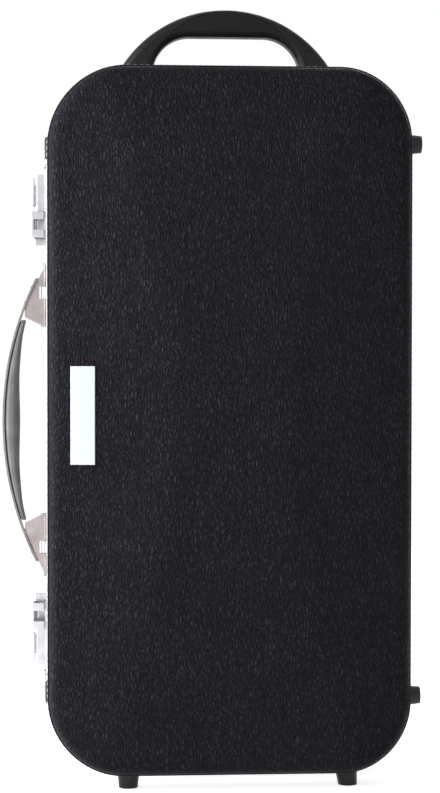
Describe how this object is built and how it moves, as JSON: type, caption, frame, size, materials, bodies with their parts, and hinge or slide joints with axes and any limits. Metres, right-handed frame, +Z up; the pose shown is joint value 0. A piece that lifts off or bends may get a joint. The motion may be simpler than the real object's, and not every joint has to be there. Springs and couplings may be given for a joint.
{
  "type": "bassoon case",
  "caption": "Upright hard case for a bassoon with a hinged lid, two spring latches, carrying handles on the top and side, feet and a fitted lining.",
  "frame": {"origin": "middle of the whole case's bounding box, on the floor under its bottom feet", "axes": "+X to the hinge side, +Y from the lid's face to the back of the base half, +Z up, towards the top handle"},
  "size_m": [0.3817, 0.148, 0.7129],
  "materials": {
    "black_leather": "pebbled, dark violet-black, semi-matt",
    "leather_welt": "smooth rolled edge with pale saddle stitches",
    "frame_aluminium": "satin",
    "latch_nickel": "satin nickel",
    "handle_bracket_metal": "warm grey satin with bright bevels",
    "strip_metal": "brownish grey satin",
    "badge_metal": "brushed, bare",
    "steel": "bright",
    "gloss_black_plastic": "moulded, glossy",
    "black_rubber": "satin",
    "handle_plastic": "moulded, satin black",
    "soft_grip": "soft satin black",
    "grey_grip": "satin grey",
    "seal_rubber": "matt black",
    "lining_plush": "short dark blue pile"
  },
  "bodies": {
    "base": {"base_frame": "frame_aluminium", "base_rivets": "latch_nickel", "base_shell": "black_leather", "base_welt": "leather_welt", "bottom_feet_base": "gloss_black_plastic", "foam_bed": "lining_plush", "foot_screws_base": "steel", "frame_seal": "seal_rubber", "hasp_pins": "steel", "hinge_base_leaf_lower": "frame_aluminium", "hinge_base_leaf_upper": "frame_aluminium", "hinge_pins": "steel", "insert_dividers": "lining_plush", "insert_end_blocks": "lining_plush", "insert_surround": "lining_plush", "latch_housing_lower": "latch_nickel", "latch_housing_upper": "latch_nickel", "latch_plate_lower": "latch_nickel", "latch_plate_upper": "latch_nickel", "latch_spring_lower": "steel", "latch_spring_upper": "steel", "side_feet_base": "black_rubber", "side_handle_lugs": "latch_nickel", "strap_anchors": "latch_nickel", "top_handle_arch": "handle_plastic", "top_handle_end_cap_left": "handle_plastic", "top_handle_end_cap_right": "handle_plastic", "top_handle_grip": "soft_grip", "top_handle_screws": "steel"},
    "lid": {"lid_shell": "black_leather", "lid_frame": "frame_aluminium", "lid_welt": "leather_welt", "bottom_feet_lid": "gloss_black_plastic", "side_feet_lid": "black_rubber", "foot_screws_lid": "steel", "side_bumpers": "black_rubber", "badge_plate": "badge_metal", "hinge_lid_leaf_upper": "frame_aluminium", "hinge_lid_leaf_lower": "frame_aluminium", "lid_rivets": "latch_nickel", "catch_plate_upper": "latch_nickel", "catch_plate_lower": "latch_nickel", "lid_foam": "lining_plush", "lid_pad": "lining_plush"},
    "side_handle": {"side_handle_bracket_upper": "handle_bracket_metal", "side_handle_bracket_lower": "handle_bracket_metal", "side_handle_strip": "strip_metal", "side_handle_grip": "grey_grip", "side_handle_pins": "steel", "side_handle_screws": "steel"},
    "hasp_upper": {"hasp_upper": "latch_nickel"},
    "slide_button_upper": {"slide_button_upper": "latch_nickel"},
    "strap_ring_upper": {"strap_ring_upper": "latch_nickel"},
    "hasp_lower": {"hasp_lower": "latch_nickel"},
    "slide_button_lower": {"slide_button_lower": "latch_nickel"},
    "strap_ring_lower": {"strap_ring_lower": "latch_nickel"}
  },
  "joints": [
    {"name": "lid_open", "type": "hinge", "parent": "base", "child": "lid", "pos_m": [0.18455, -0.008, 0.33275], "axis": [0, 0, 1], "range_deg": [0, 110]},
    {"name": "side_handle_swing", "type": "hinge", "parent": "base", "child": "side_handle", "pos_m": [-0.15315, -0.001, 0.33275], "axis": [0, 0, 1], "range_deg": [-60, 60]},
    {"name": "hasp_upper_swing", "type": "hinge", "parent": "base", "child": "hasp_upper", "pos_m": [-0.16135, 0.001, 0.51115], "axis": [0, 0, -1], "range_deg": [0, 100]},
    {"name": "slide_upper_push", "type": "slide", "parent": "base", "child": "slide_button_upper", "axis": [0, 0, 1], "range_m": [0, 0.005], "stiffness_N_per_m": 400, "springref_m": -0.003, "deforming": ["latch_spring_upper"]},
    {"name": "strap_ring_upper_swing", "type": "hinge", "parent": "base", "child": "strap_ring_upper", "pos_m": [-0.15225, -0.0044, 0.57275], "axis": [0, 0, 1], "range_deg": [0, 90]},
    {"name": "hasp_lower_swing", "type": "hinge", "parent": "base", "child": "hasp_lower", "pos_m": [-0.16135, 0.001, 0.15435], "axis": [0, 0, -1], "range_deg": [0, 100]},
    {"name": "slide_lower_push", "type": "slide", "parent": "base", "child": "slide_button_lower", "axis": [0, 0, -1], "range_m": [0, 0.005], "stiffness_N_per_m": 400, "springref_m": -0.003, "deforming": ["latch_spring_lower"]},
    {"name": "strap_ring_lower_swing", "type": "hinge", "parent": "base", "child": "strap_ring_lower", "pos_m": [-0.15225, -0.0044, 0.09275], "axis": [0, 0, 1], "range_deg": [0, 90]}
  ]
}
